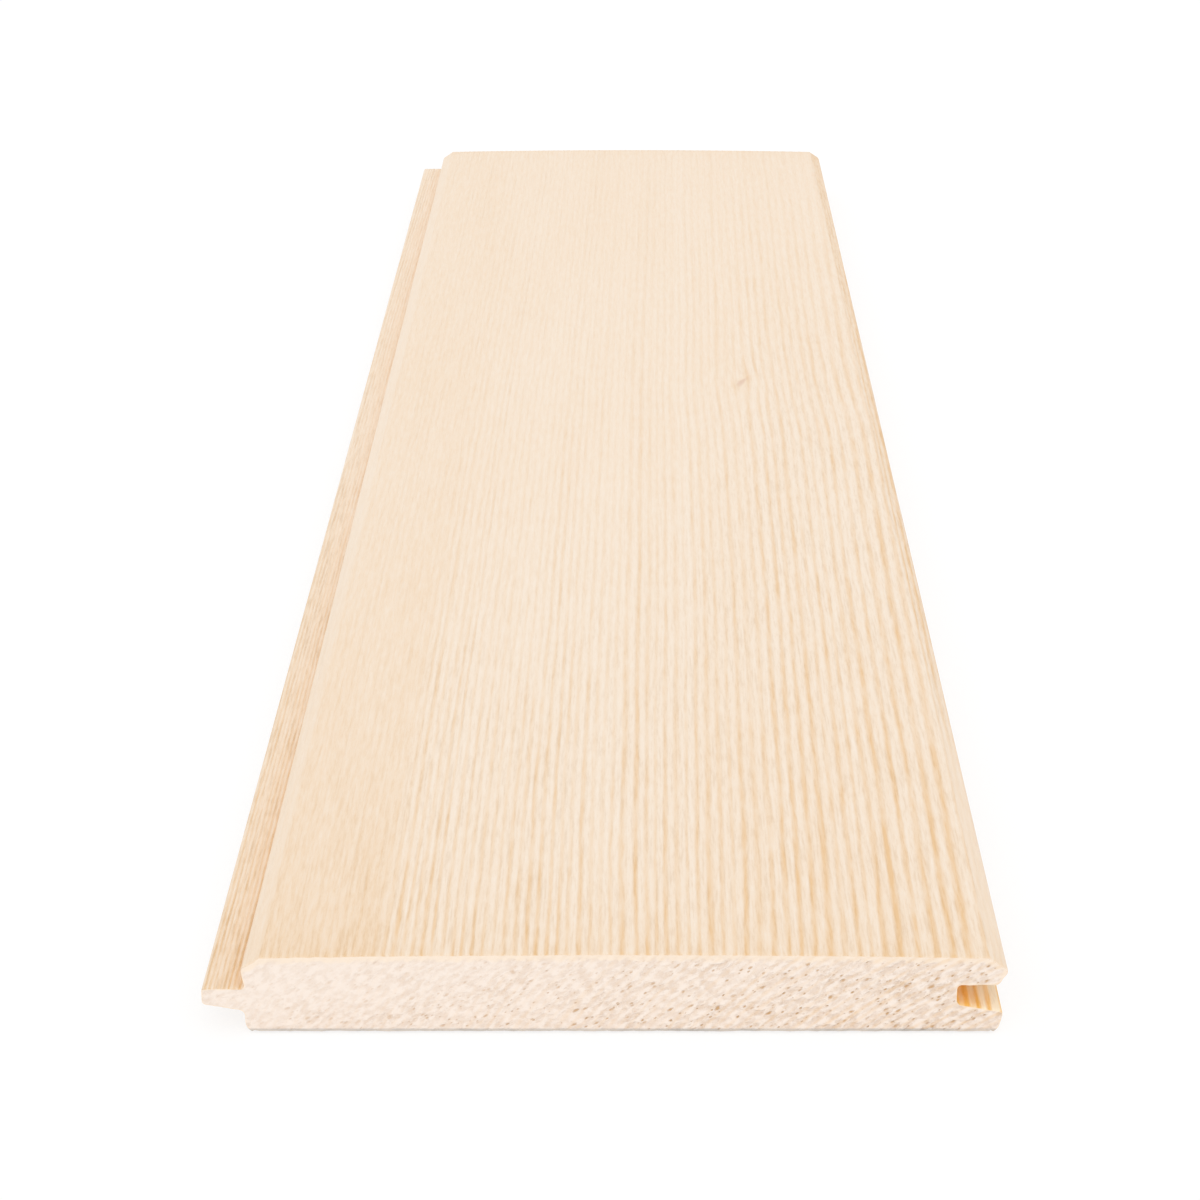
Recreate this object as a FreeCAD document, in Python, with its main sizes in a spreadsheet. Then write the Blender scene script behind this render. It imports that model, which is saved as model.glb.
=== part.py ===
import FreeCAD, Part
import os
import Sketcher

# Tongue and groove board: one length of softwood, moulded along its two long edges.
# It lies on its back. X runs across the board, with the tongue at -X and the groove at +X.
# Y runs along the grain, and Z points up out of the face. The origin is the middle of the back.
# Every size is in millimetres, and every height is measured up from the back.

SIZES = {
    # The stick: cover_width is what one board adds to a wall, without its tongue
    "board_length": "600",
    "cover_width": "135.8",
    "board_thickness": "16",
    "crown_rise": "0.7",
    # The tongue, thicker at its root than at its tip
    "tongue_reach": "7.2",
    "tongue_top": "9.1",
    "tongue_root": "4.6",
    "tongue_tip": "3.2",
    # What the groove leaves free round the tongue of the next board
    "face_clearance": "0.6",
    "back_clearance": "0.2",
    "tip_clearance": "1.6",
    # Two faces touch at an upright land, and everything behind it stands back
    "edge_land": "0.8",
    "shoulder_lean": "0.5",
    "lip_lean": "1.6",
    "back_shoulder_inset": "0.4",
    "back_lip_inset": "0.4",
    "back_lip_lean": "1.0",
    # The bevel along each edge of the face
    "bevel_width": "3.4",
    "bevel_drop": "2.3",
    # Rounds left by the moulding knives
    "bevel_round": "1.2",
    "lip_round": "0.8",
    "tongue_tip_round": "0.8",
    "face_root_round": "0.5",
    "back_root_round": "1.4",
    "groove_round": "0.7",
    "back_round": "2.4",
}

# Lines that the section is set out from, across the board
half_stick = "(sizes.cover_width + sizes.tongue_reach) / 2"
tongue_tip_x = f"0 - {half_stick}"
shoulder_x = f"sizes.tongue_reach - {half_stick}"
back_shoulder_x = f"{shoulder_x} + sizes.back_shoulder_inset"
lip_x = half_stick
back_lip_x = f"{lip_x} - sizes.back_lip_inset"
back_lip_foot = f"{back_lip_x} - sizes.back_lip_lean"
groove_end_x = f"{lip_x} - sizes.tongue_reach - sizes.tip_clearance"

# Heights
face_edge = "sizes.board_thickness - sizes.crown_rise"
bevel_foot = f"{face_edge} - sizes.bevel_drop"
land_foot = f"{bevel_foot} - sizes.edge_land"
tongue_root_back = "sizes.tongue_top - sizes.tongue_root"
tongue_tip_back = "sizes.tongue_top - sizes.tongue_tip"

# The crown is an arc over the cover width. Only the tongue's back side tapers.
crown_radius = "((sizes.cover_width / 2) ^ 2 + sizes.crown_rise ^ 2) / (2 * sizes.crown_rise)"
tongue_taper = (
    "(sizes.tongue_root - sizes.tongue_tip) / (sizes.tongue_reach + sizes.back_shoulder_inset)"
)

# The groove is the next board's tongue, one cover width along, with the clearances round it
groove_top = "sizes.tongue_top + sizes.face_clearance"
groove_end_back = f"{tongue_tip_back} + sizes.tip_clearance * {tongue_taper} - sizes.back_clearance"
groove_depth = "(sizes.tongue_reach + sizes.tip_clearance)"
groove_mouth_back = f"{groove_end_back} - ({groove_depth} - sizes.back_lip_inset) * {tongue_taper}"

# How far a cutter's outline stands out past the wood that it takes away
overrun = "10"
cutter_left = f"{tongue_tip_x} - {overrun}"
cutter_right = f"{lip_x} + {overrun}"
cutter_under = f"0 - {overrun}"
cutter_over = f"sizes.board_thickness + {overrun}"

doc = FreeCAD.newDocument("tongue_and_groove_board")
sheet = doc.addObject("Spreadsheet::Sheet", "sizes")
for row, (name, value) in enumerate(SIZES.items(), start=1):
    sheet.set(f"A{row}", name)
    sheet.set(f"B{row}", value)
    sheet.setAlias(f"B{row}", name)
doc.recompute()

board = doc.addObject("PartDesign::Body", "board")
board.Label = "board"
section_plane = next(plane for plane in board.Origin.OriginFeatures if plane.Role == "XZ_Plane")


def value_of(expression):
    """The number that an expression of the sheet's sizes comes to."""
    return float(sheet.evalExpression(expression))


def bound(sketch, expression, kind, *places):
    """Adds one sizing constraint and ties it to an expression of the sheet's sizes."""
    index = sketch.addConstraint(Sketcher.Constraint(kind, *places, value_of(expression)))
    sketch.setExpression(f"Constraints[{index}]", expression)


def outline(name, corners, last_side_radius=None):
    """A closed outline on the section plane, whose corners are pairs of expressions.

    The corners go round anticlockwise, and each is held by its two distances from the origin.
    With last_side_radius the side back to the first corner is an arc that bulges outwards.
    """
    sketch = board.newObject("Sketcher::SketchObject", name)
    sketch.AttachmentSupport = [(section_plane, "")]
    sketch.MapMode = "FlatFace"
    points = [FreeCAD.Vector(value_of(across), value_of(up), 0) for across, up in corners]
    last = len(points) - 1
    for side, start in enumerate(points):
        end = points[(side + 1) % len(points)]
        if side == last and last_side_radius:
            radius = value_of(last_side_radius)
            chord = end - start
            bulge = radius - (radius ** 2 - (chord.Length / 2) ** 2) ** 0.5
            outwards = FreeCAD.Vector(chord.y, -chord.x, 0).normalize()
            sketch.addGeometry(Part.Arc(start, (start + end) / 2 + outwards * bulge, end))
        else:
            sketch.addGeometry(Part.LineSegment(start, end))
    sketch_origin, start_point, end_point = -1, 1, 2
    for side, (across, up) in enumerate(corners):
        following = (side + 1) % len(corners)
        sketch.addConstraint(
            Sketcher.Constraint("Coincident", side, end_point, following, start_point)
        )
        bound(sketch, across, "DistanceX", sketch_origin, start_point, side, start_point)
        bound(sketch, up, "DistanceY", sketch_origin, start_point, side, start_point)
    if last_side_radius:
        bound(sketch, last_side_radius, "Radius", last)
    return sketch


def mould(name, corners):
    """Runs a cutter of this outline along the whole board, and checks that it took wood away."""
    before = board.Shape.Volume
    cutter = board.newObject("PartDesign::Pocket", name)
    cutter.Profile = outline(f"{name}_outline", corners)
    cutter.Type = "ThroughAll"
    cutter.SideType = "Symmetric"
    doc.recompute()
    if board.Shape.Volume >= before:
        raise RuntimeError(f"{name} takes no wood away")


def round_over(name, radius, corners):
    """Rounds the lengthwise edges that lie nearest to these points of the section."""
    straight = 0.001
    lengthwise = [
        (f"Edge{number}", edge.BoundBox.Center)
        for number, edge in enumerate(board.Shape.Edges, start=1)
        if edge.BoundBox.XLength < straight and edge.BoundBox.ZLength < straight
    ]
    chosen = []
    for across, up in corners:
        corner = FreeCAD.Vector(value_of(across), 0, value_of(up))
        nearest = min(lengthwise, key=lambda edge: edge[1].distanceToPoint(corner))
        chosen.append(nearest[0])
    moulded = board.Tip
    fillet = board.newObject("PartDesign::Fillet", name)
    fillet.Base = (moulded, chosen)
    fillet.setExpression("Radius", radius)
    doc.recompute()


# The planed stick, with its slightly crowned face
stick = board.newObject("PartDesign::Pad", "stick")
stick.Profile = outline(
    "stick_outline",
    [
        (shoulder_x, face_edge),
        (tongue_tip_x, face_edge),
        (tongue_tip_x, "0"),
        (lip_x, "0"),
        (lip_x, face_edge),
    ],
    last_side_radius=crown_radius,
)
stick.SideType = "Symmetric"
stick.setExpression("Length", "sizes.board_length")
doc.recompute()

# Above the tongue, as far as the face shoulder, which leans in towards the tongue's root
mould("face_rebate", [
    (cutter_left, "sizes.tongue_top"),
    (f"{shoulder_x} + sizes.shoulder_lean", "sizes.tongue_top"),
    (shoulder_x, land_foot),
    (shoulder_x, cutter_over),
    (cutter_left, cutter_over),
])

# Below the tongue, along the tongue's taper, as far as the back shoulder
mould("back_rebate", [
    (cutter_left, cutter_under),
    (back_shoulder_x, cutter_under),
    (back_shoulder_x, tongue_root_back),
    (cutter_left, f"{tongue_tip_back} + {overrun} * {tongue_taper}"),
])

# The groove, whose back side has the tongue's taper
mould("groove", [
    (groove_end_x, groove_end_back),
    (cutter_right, f"{groove_end_back} - ({groove_depth} + {overrun}) * {tongue_taper}"),
    (cutter_right, groove_top),
    (groove_end_x, groove_top),
])

# The face lip leans in below its land.
# The back lip is the shorter of the two, and leans in towards the back.
mould("face_lip", [
    (f"{lip_x} - sizes.lip_lean", groove_top),
    (cutter_right, groove_top),
    (cutter_right, land_foot),
    (lip_x, land_foot),
])
mould("back_lip", [
    (f"{back_lip_foot} - sizes.back_lip_lean * {overrun} / ({groove_mouth_back})", cutter_under),
    (cutter_right, cutter_under),
    (cutter_right, groove_top),
    (back_lip_x, groove_top),
    (back_lip_x, groove_mouth_back),
])

# The bevels, whose slope runs on past the crowned face
bevel_over = f"{face_edge} + sizes.bevel_drop"
mould("tongue_side_bevel", [
    (shoulder_x, bevel_foot),
    (f"{shoulder_x} + 2 * sizes.bevel_width", bevel_over),
    (cutter_left, bevel_over),
    (cutter_left, bevel_foot),
])
mould("groove_side_bevel", [
    (lip_x, bevel_foot),
    (cutter_right, bevel_foot),
    (cutter_right, bevel_over),
    (f"{lip_x} - 2 * sizes.bevel_width", bevel_over),
])

# Every corner that the knives leave round
round_over("rounded_bevels", "sizes.bevel_round", [
    (shoulder_x, bevel_foot),
    (f"{shoulder_x} + sizes.bevel_width", face_edge),
    (f"{lip_x} - sizes.bevel_width", face_edge),
    (lip_x, bevel_foot),
])
round_over("rounded_lips", "sizes.lip_round", [
    (f"{lip_x} - sizes.lip_lean", groove_top),
    (back_lip_x, groove_mouth_back),
])
round_over("rounded_tongue_tip", "sizes.tongue_tip_round", [
    (tongue_tip_x, "sizes.tongue_top"),
    (tongue_tip_x, tongue_tip_back),
])
round_over("rounded_face_root", "sizes.face_root_round", [
    (f"{shoulder_x} + sizes.shoulder_lean", "sizes.tongue_top"),
])
round_over("rounded_back_root", "sizes.back_root_round", [
    (back_shoulder_x, tongue_root_back),
])
round_over("rounded_groove", "sizes.groove_round", [
    (groove_end_x, groove_top),
    (groove_end_x, groove_end_back),
])
round_over("rounded_back", "sizes.back_round", [
    (back_shoulder_x, "0"),
    (back_lip_foot, "0"),
])

for item in doc.Objects:
    if "Invalid" in item.State or "Error" in item.State:
        raise RuntimeError(f"{item.Name} failed: {item.State}")
if board.Shape.isNull() or not board.Shape.isValid() or len(board.Shape.Solids) != 1:
    raise RuntimeError("the board is not one valid solid")

os.makedirs("parts", exist_ok=True)
board.Shape.exportStep(f"parts/{board.Label}.step")
box = board.Shape.BoundBox
print(f"board {box.XLength:.3f} x {box.YLength:.3f} x {box.ZLength:.3f} mm, {board.Shape.Volume:.1f} mm3")
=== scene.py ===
"""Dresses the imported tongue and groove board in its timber, and sets it in a plain studio.

X runs across the board from the tongue to the groove, Y runs along the grain away from the camera, and Z points out of
the face. Blender works in metres. The surfaces are worked out in millimetres, because a moulding is drawn in them.
"""

import bpy
import numpy as np
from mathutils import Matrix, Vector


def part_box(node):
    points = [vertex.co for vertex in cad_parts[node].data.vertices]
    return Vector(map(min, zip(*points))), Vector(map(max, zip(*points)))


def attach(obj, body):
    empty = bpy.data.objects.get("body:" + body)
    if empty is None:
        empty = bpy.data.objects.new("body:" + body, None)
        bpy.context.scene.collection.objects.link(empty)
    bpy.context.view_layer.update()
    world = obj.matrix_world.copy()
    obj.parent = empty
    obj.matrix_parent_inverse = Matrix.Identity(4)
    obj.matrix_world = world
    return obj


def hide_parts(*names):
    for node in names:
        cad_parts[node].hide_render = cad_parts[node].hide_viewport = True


bl_info = {
    "name": "Tongue and groove board",
    "version": (1, 0, 0),
    "blender": (4, 5, 0),
    "location": "3D View > Sidebar > Board",
    "description": "Builds a planed and moulded softwood board with its growth rings, and a studio for it",
    "category": "Add Mesh",
}

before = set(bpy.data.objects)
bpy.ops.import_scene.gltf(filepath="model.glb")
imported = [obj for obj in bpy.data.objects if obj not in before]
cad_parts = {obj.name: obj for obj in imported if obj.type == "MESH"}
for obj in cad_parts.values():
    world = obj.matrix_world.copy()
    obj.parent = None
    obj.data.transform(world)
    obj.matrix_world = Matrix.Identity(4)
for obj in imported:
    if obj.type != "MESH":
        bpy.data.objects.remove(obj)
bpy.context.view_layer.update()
BOARD_LOW, BOARD_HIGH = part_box("board")
MM = 0.001

# Lines of growth that stand out on the face: where each meets the near end, in mm across the board, and how many years
# lie between it and the next one
BOLD_LINES = (
    (-38.7, 15), (-12.1, 8), (3.3, 1), (5.6, 7), (19.4, 3), (25.7, 3), (33.2, 1), (35.7, 2), (40.7, 5), (53.1, 3),
    (62.9, 1), (66.1, 0),
)
# Share of a ring at which its hard growth begins, is darkest, begins to fade and is gone
EARLY_WOOD, LATE_WOOD, WINTER, SPRING = 0.22, 0.58, 0.63, 0.95
# How many times the section is set down along the board, and how many rings of faces close each end
BOARD_ROWS = 84
END_RINGS = 26
# What the mesh holds at each point for the materials
TRAITS = ("years", "figure", "tone", "boldness", "rim", "resin_and_painted_light")


class BoardSizes(bpy.types.PropertyGroup):
    """Sizes of the moulded section, as they are in the model."""

    tongue_reach: bpy.props.FloatProperty(
        name="Tongue reach", description="How far the tongue stands past the face shoulder",
        default=7.2 * MM, unit="LENGTH")
    tongue_top: bpy.props.FloatProperty(
        name="Tongue height", description="Height of the tongue's face side above the back",
        default=9.1 * MM, unit="LENGTH")
    tongue_root: bpy.props.FloatProperty(
        name="Tongue root", description="Thickness of the tongue at its root", default=4.6 * MM, unit="LENGTH")
    tongue_tip: bpy.props.FloatProperty(
        name="Tongue tip", description="Thickness of the tongue at its tip", default=3.2 * MM, unit="LENGTH")
    face_clearance: bpy.props.FloatProperty(
        name="Face clearance", description="Room left over the next board's tongue",
        default=0.6 * MM, unit="LENGTH")
    back_clearance: bpy.props.FloatProperty(
        name="Back clearance", description="Room left under the next board's tongue",
        default=0.2 * MM, unit="LENGTH")
    tip_clearance: bpy.props.FloatProperty(
        name="Tip clearance", description="Room left past the next board's tongue",
        default=1.6 * MM, unit="LENGTH")
    crown: bpy.props.FloatProperty(
        name="Crown", description="How much higher the middle of the face is than its edges",
        default=0.7 * MM, unit="LENGTH")
    bevel_width: bpy.props.FloatProperty(
        name="Bevel width", description="Width of the bevel along each edge of the face",
        default=3.4 * MM, unit="LENGTH")
    bevel_drop: bpy.props.FloatProperty(
        name="Bevel drop", description="How far each bevel falls", default=2.3 * MM, unit="LENGTH")
    edge_land: bpy.props.FloatProperty(
        name="Land", description="Height of the upright land where two boards touch",
        default=0.8 * MM, unit="LENGTH")
    shoulder_lean: bpy.props.FloatProperty(
        name="Shoulder lean", description="How far the shoulder leans in below its land",
        default=0.5 * MM, unit="LENGTH")
    lip_lean: bpy.props.FloatProperty(
        name="Lip lean", description="How far the face lip leans in below its land",
        default=1.6 * MM, unit="LENGTH")
    back_shoulder_inset: bpy.props.FloatProperty(
        name="Back shoulder inset", description="How far the back shoulder stands behind the face shoulder",
        default=0.4 * MM, unit="LENGTH")
    back_lip_inset: bpy.props.FloatProperty(
        name="Back lip inset", description="How much shorter the back lip is than the face lip",
        default=0.4 * MM, unit="LENGTH")
    back_lip_lean: bpy.props.FloatProperty(
        name="Back lip lean", description="How far the back lip leans in towards the back",
        default=1.0 * MM, unit="LENGTH")
    bevel_round: bpy.props.FloatProperty(
        name="Bevel round", description="Round along both edges of each bevel", default=1.2 * MM, unit="LENGTH")
    land_round: bpy.props.FloatProperty(
        name="Land round", description="Round below each land", default=0.25 * MM, unit="LENGTH")
    lip_round: bpy.props.FloatProperty(
        name="Lip round", description="Round at the mouth of the groove and at the tongue's tip",
        default=0.8 * MM, unit="LENGTH")
    groove_round: bpy.props.FloatProperty(
        name="Groove round", description="Round at the bottom of the groove", default=0.7 * MM, unit="LENGTH")
    face_root_round: bpy.props.FloatProperty(
        name="Face root round", description="Round over the tongue's root", default=0.5 * MM, unit="LENGTH")
    back_root_round: bpy.props.FloatProperty(
        name="Back root round", description="Round under the tongue's root", default=1.4 * MM, unit="LENGTH")
    back_round: bpy.props.FloatProperty(
        name="Back round", description="Round along both edges of the back", default=2.4 * MM, unit="LENGTH")


class TimberSizes(bpy.types.PropertyGroup):
    """How the tree grew, and what the saw and the knives left."""

    pith: bpy.props.FloatVectorProperty(
        name="Pith", description="Where the middle of the tree lies, across the board and above its back",
        size=2, default=(119 * MM, -88 * MM), unit="LENGTH")
    ring_width: bpy.props.FloatProperty(
        name="Ring width", description="Width of one year's growth", default=1.4 * MM, unit="LENGTH")
    knot: bpy.props.FloatVectorProperty(
        name="Pin knot", description="Where the pin knot meets the face, across and along the board",
        size=2, default=(34.7 * MM, 28 * MM), unit="LENGTH")
    knot_size: bpy.props.FloatVectorProperty(
        name="Knot size", description="Width and length of the knot's stroke", size=2,
        default=(2.0 * MM, 9.0 * MM), unit="LENGTH")
    knot_turn: bpy.props.FloatProperty(
        name="Knot turn", description="How far the knot's stroke leans from the grain",
        default=np.radians(17), subtype="ANGLE")
    ridge: bpy.props.FloatProperty(
        name="Ridge", description="How far the soft growth lies below the hard growth on a planed surface",
        default=0.05 * MM, unit="LENGTH")
    saw_depth: bpy.props.FloatProperty(
        name="Saw depth", description="How deep the saw tore the two ends", default=0.3 * MM, unit="LENGTH")
    saw_slant: bpy.props.FloatProperty(
        name="Saw slant", description="How steeply the saw's strokes rise across an end",
        default=np.radians(31), subtype="ANGLE")


class TimberColours(bpy.types.PropertyGroup):
    """Colours of the timber, as linear light."""

    soft_growth: bpy.props.FloatVectorProperty(
        name="Soft growth", description="Pale wood grown in spring", subtype="COLOR",
        size=3, default=(0.955, 0.838, 0.712), min=0, max=1)
    hard_growth: bpy.props.FloatVectorProperty(
        name="Hard growth", description="Darker wood grown in summer", subtype="COLOR",
        size=3, default=(0.85, 0.565, 0.30), min=0, max=1)
    # These two are painted light as well as resinous wood: brighter than the plain growth to make up for the groove's
    # shade, and deeper orange for light bounced about in it
    painted_light_resin_soft: bpy.props.FloatVectorProperty(
        name="Resinous soft growth", description="Soft growth where the wood is rich in resin", subtype="COLOR",
        size=3, default=(1.0, 0.88, 0.68), min=0, max=1)
    painted_light_resin_hard: bpy.props.FloatVectorProperty(
        name="Resinous hard growth", description="Hard growth where the wood is rich in resin", subtype="COLOR",
        size=3, default=(0.96, 0.55, 0.14), min=0, max=1)
    sawn: bpy.props.FloatVectorProperty(
        name="Sawn wood", description="Torn fibres of the two ends", subtype="COLOR",
        size=3, default=(0.952, 0.838, 0.746), min=0, max=1)
    # Painted shade: the hollows between the torn fibres are darkened in colour as well as sunk by the bump
    sawn_hollow_painted_shade: bpy.props.FloatVectorProperty(
        name="Sawn hollows", description="Hollows between the torn fibres", subtype="COLOR",
        size=3, default=(0.745, 0.565, 0.43), min=0, max=1)
    pit: bpy.props.FloatVectorProperty(
        name="Pits", description="Pits that the saw tore in the hard growth", subtype="COLOR",
        size=3, default=(0.60, 0.34, 0.14), min=0, max=1)
    arris: bpy.props.FloatVectorProperty(
        name="Arris", description="Smoother wood along the edge of an end", subtype="COLOR",
        size=3, default=(0.965, 0.82, 0.675), min=0, max=1)
    # Painted contact shadow: a grey line along the lower edge of each end, standing in for the floor's shade under the
    # board
    painted_contact_shadow: bpy.props.FloatVectorProperty(
        name="Painted contact shadow", description="Lower edge of an end, where the board has lain on the floor", subtype="COLOR",
        size=3, default=(0.50, 0.475, 0.45), min=0, max=1)
    knot: bpy.props.FloatVectorProperty(
        name="Knot", description="Heart of the pin knot", subtype="COLOR",
        size=3, default=(0.66, 0.38, 0.26), min=0, max=1)


class StudioSettings(bpy.types.PropertyGroup):
    """Light, floor and camera."""

    sky: bpy.props.FloatProperty(
        name="Sky", description="Strength of the light from all round", default=0.86, min=0)
    key: bpy.props.FloatProperty(
        name="Key lamp", description="Strength of the soft lamp", default=0.6, min=0)
    key_softness: bpy.props.FloatProperty(
        name="Key softness", description="How wide the soft lamp looks from the board",
        default=np.radians(60), subtype="ANGLE")
    floor_glow: bpy.props.FloatProperty(
        name="Floor glow", description="Share of plain white in what the camera sees of the floor",
        default=0.76, min=0, max=1, subtype="FACTOR")
    lens: bpy.props.FloatProperty(
        name="Lens", description="Focal length in mm on a 36 mm sensor", default=90, min=1)
    camera_place: bpy.props.FloatVectorProperty(
        name="Camera place", description="Where the camera stands", size=3,
        default=(6.0 * MM, -766.8 * MM, 272.6 * MM), subtype="TRANSLATION")
    camera_dip: bpy.props.FloatProperty(
        name="Camera dip", description="How far the camera looks down from level",
        default=np.radians(22.06), subtype="ANGLE")
    camera_shift: bpy.props.FloatProperty(
        name="Camera shift", description="Sideways shift of the picture, as a share of its width", default=-0.0315)


# Surfaces

def hashed(column, row, seed):
    """One even random number from 0 to 1 for each pair of whole numbers."""
    mixed = (column.astype(np.int64) * 374761393 + row.astype(np.int64) * 668265263 + seed * 144665) & 0xFFFFFFFF
    mixed = ((mixed ^ (mixed >> 13)) * 1274126177) & 0xFFFFFFFF
    return (mixed ^ (mixed >> 16)) / 0xFFFFFFFF


def ease(value, low=0.0, high=1.0):
    """Rises smoothly from 0 at low to 1 at high: 3t^2 - 2t^3 of the share t that is covered."""
    share = np.clip((value - low) / (high - low), 0, 1)
    return share * share * (3 - 2 * share)


def waver(across, along, seed):
    """Smooth noise from -1 to 1: the hashed corners of each unit cell, eased into one another."""
    column, row = np.floor(across), np.floor(along)
    right, up = ease(across - column), ease(along - row)
    low = hashed(column, row, seed) * (1 - right) + hashed(column + 1, row, seed) * right
    high = hashed(column, row + 1, seed) * (1 - right) + hashed(column + 1, row + 1, seed) * right
    return 2 * (low * (1 - up) + high * up) - 1


def section_corners(sizes):
    """The section's corners in mm, anticlockwise as the camera sees them: name, across, up, radius, spacing.

    The spacing is the step between points on the side that leads to the corner. The groove is the tongue of the next
    board, one cover width along, with the clearances round it, so both have the tongue's taper.
    """
    left, right = BOARD_LOW.x / MM, BOARD_HIGH.x / MM
    top = BOARD_HIGH.z / MM
    reach, root, tip = sizes.tongue_reach / MM, sizes.tongue_root / MM, sizes.tongue_tip / MM
    tongue_top, depth = sizes.tongue_top / MM, (sizes.tongue_reach + sizes.tip_clearance) / MM
    bevel, drop, land = sizes.bevel_width / MM, sizes.bevel_drop / MM, sizes.edge_land / MM
    shoulder = left + reach
    back_shoulder = shoulder + sizes.back_shoulder_inset / MM
    back_lip = right - sizes.back_lip_inset / MM
    taper = (root - tip) / (back_shoulder - left)
    groove_top = tongue_top + sizes.face_clearance / MM
    groove_floor = tongue_top - tip + (sizes.tip_clearance * taper - sizes.back_clearance) / MM
    mouth = groove_floor - (depth - sizes.back_lip_inset / MM) * taper
    half_face = (right - shoulder) / 2
    foot = top - sizes.crown / MM - drop
    rim = top - sizes.crown / MM * (1 - bevel / half_face) ** 2
    bevel_run = bevel * (rim - foot) / drop
    edge, lip, back = sizes.bevel_round / MM, sizes.lip_round / MM, sizes.back_round / MM
    below, end = sizes.land_round / MM, sizes.groove_round / MM
    return (
        ("back_right", back_lip - sizes.back_lip_lean / MM, 0.0, back, 0.8),
        ("back_lip", back_lip, mouth, lip, 0.4),
        ("groove_back", right - depth, groove_floor, end, 0.3),
        ("groove_face", right - depth, groove_top, end, 0.3),
        ("face_lip", right - sizes.lip_lean / MM, groove_top, lip, 0.3),
        ("right_land", right, foot - land, below, 0.3),
        ("right_foot", right, foot, edge, 0.2),
        ("right_rim", right - bevel_run, rim, edge, 0.3),
        ("left_rim", shoulder + bevel_run, rim, edge, 0.4),
        ("left_foot", shoulder, foot, edge, 0.3),
        ("left_land", shoulder, foot - land, below, 0.2),
        ("root_face", shoulder + sizes.shoulder_lean / MM, tongue_top, sizes.face_root_round / MM, 0.3),
        ("tip_face", left, tongue_top, lip, 0.35),
        ("tip_back", left, tongue_top - tip, lip, 0.3),
        ("root_back", back_shoulder, tongue_top - root, sizes.back_root_round / MM, 0.35),
        ("back_left", back_shoulder, 0.0, back, 0.4),
    )


def rounded_outline(corners, crowned, top):
    """A closed outline with an arc at each corner, and the place of each arc in it.

    An arc is tangent to both sides. It starts and ends at its radius x tan(half the turn) from the corner, and its
    points are its start turned about its centre. The crowned side, which leads to the corner of that name, is lifted
    by (top - its height) x (1 - s^2), with s from -1 to 1 along it.
    """
    places = np.array([corner[1:3] for corner in corners])
    arcs = []
    for number, (_, _, _, radius, _) in enumerate(corners):
        corner = places[number]
        before = corner - places[number - 1]
        after = places[(number + 1) % len(corners)] - corner
        before, after = before / np.hypot(*before), after / np.hypot(*after)
        turn = np.arctan2(before[0] * after[1] - before[1] * after[0], before @ after)
        start = corner - before * radius * np.tan(abs(turn) / 2)
        centre = start + np.array([-before[1], before[0]]) * radius * np.sign(turn)
        count = max(3, int(np.ceil(abs(turn) * radius / 0.35)) + 1)
        angles = np.linspace(0, turn, count)[:, None]
        spoke = start - centre
        turned = np.array([-spoke[1], spoke[0]])
        arcs.append(centre + spoke * np.cos(angles) + turned * np.sin(angles))
    pieces, spans, length = [], {}, 0
    for number, (name, _, _, _, spacing) in enumerate(corners):
        start, end = arcs[number - 1][-1], arcs[number][0]
        steps = int(np.ceil(np.hypot(*(end - start)) / spacing))
        share = np.linspace(0, 1, steps + 1)[:-1, None]
        side = start + (end - start) * share
        if name == crowned:
            side[:, 1] += (top - side[:, 1]) * (1 - (2 * share[:, 0] - 1) ** 2)
        pieces += [side, arcs[number][:-1]]
        spans[name] = (length + steps, length + steps + len(arcs[number]) - 1)
        length += steps + len(arcs[number]) - 1
    return np.concatenate(pieces), spans


def outward(outline):
    """Unit normals of a closed anticlockwise outline: the chord between a point's neighbours, turned right."""
    chord = np.roll(outline, -1, axis=0) - np.roll(outline, 1, axis=0)
    normal = np.stack([chord[:, 1], -chord[:, 0]], axis=1)
    return normal / np.hypot(normal[:, 0], normal[:, 1])[:, None]


def grain_shift(across, along, timber):
    """How far the grain has wandered sideways, in mm, at each point across and along the board.

    On the groove's side it leans out evenly and steps back as it passes the knot. The rest leans out more and more, by
    the square of the share of the length. Two sizes of smooth noise are added, and round the knot the grain parts:
    offset x exp(-(offset / width)^2 - (distance / length)^2).
    """
    low, high = BOARD_LOW.y / MM, BOARD_HIGH.y / MM
    share = (along - low) / (high - low)
    groove_side = ease(across, -5, 40)
    offset, distance = across - timber.knot[0] / MM, along - timber.knot[1] / MM
    shift = groove_side * (8 * share - 1.8 * ease(distance, -53, 7)) + (1 - groove_side) * 4.2 * share ** 2
    shift = shift + 0.45 * waver(across / 28, along / 110, 3) + 0.16 * waver(across / 9, along / 45, 5)
    shift += 0.5 * offset * np.exp(-(offset / 4.5) ** 2 - (distance / 9) ** 2)
    return shift + 0.6 * np.exp(-((offset - 5) / 9) ** 2 - (distance / 22) ** 2)


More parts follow.
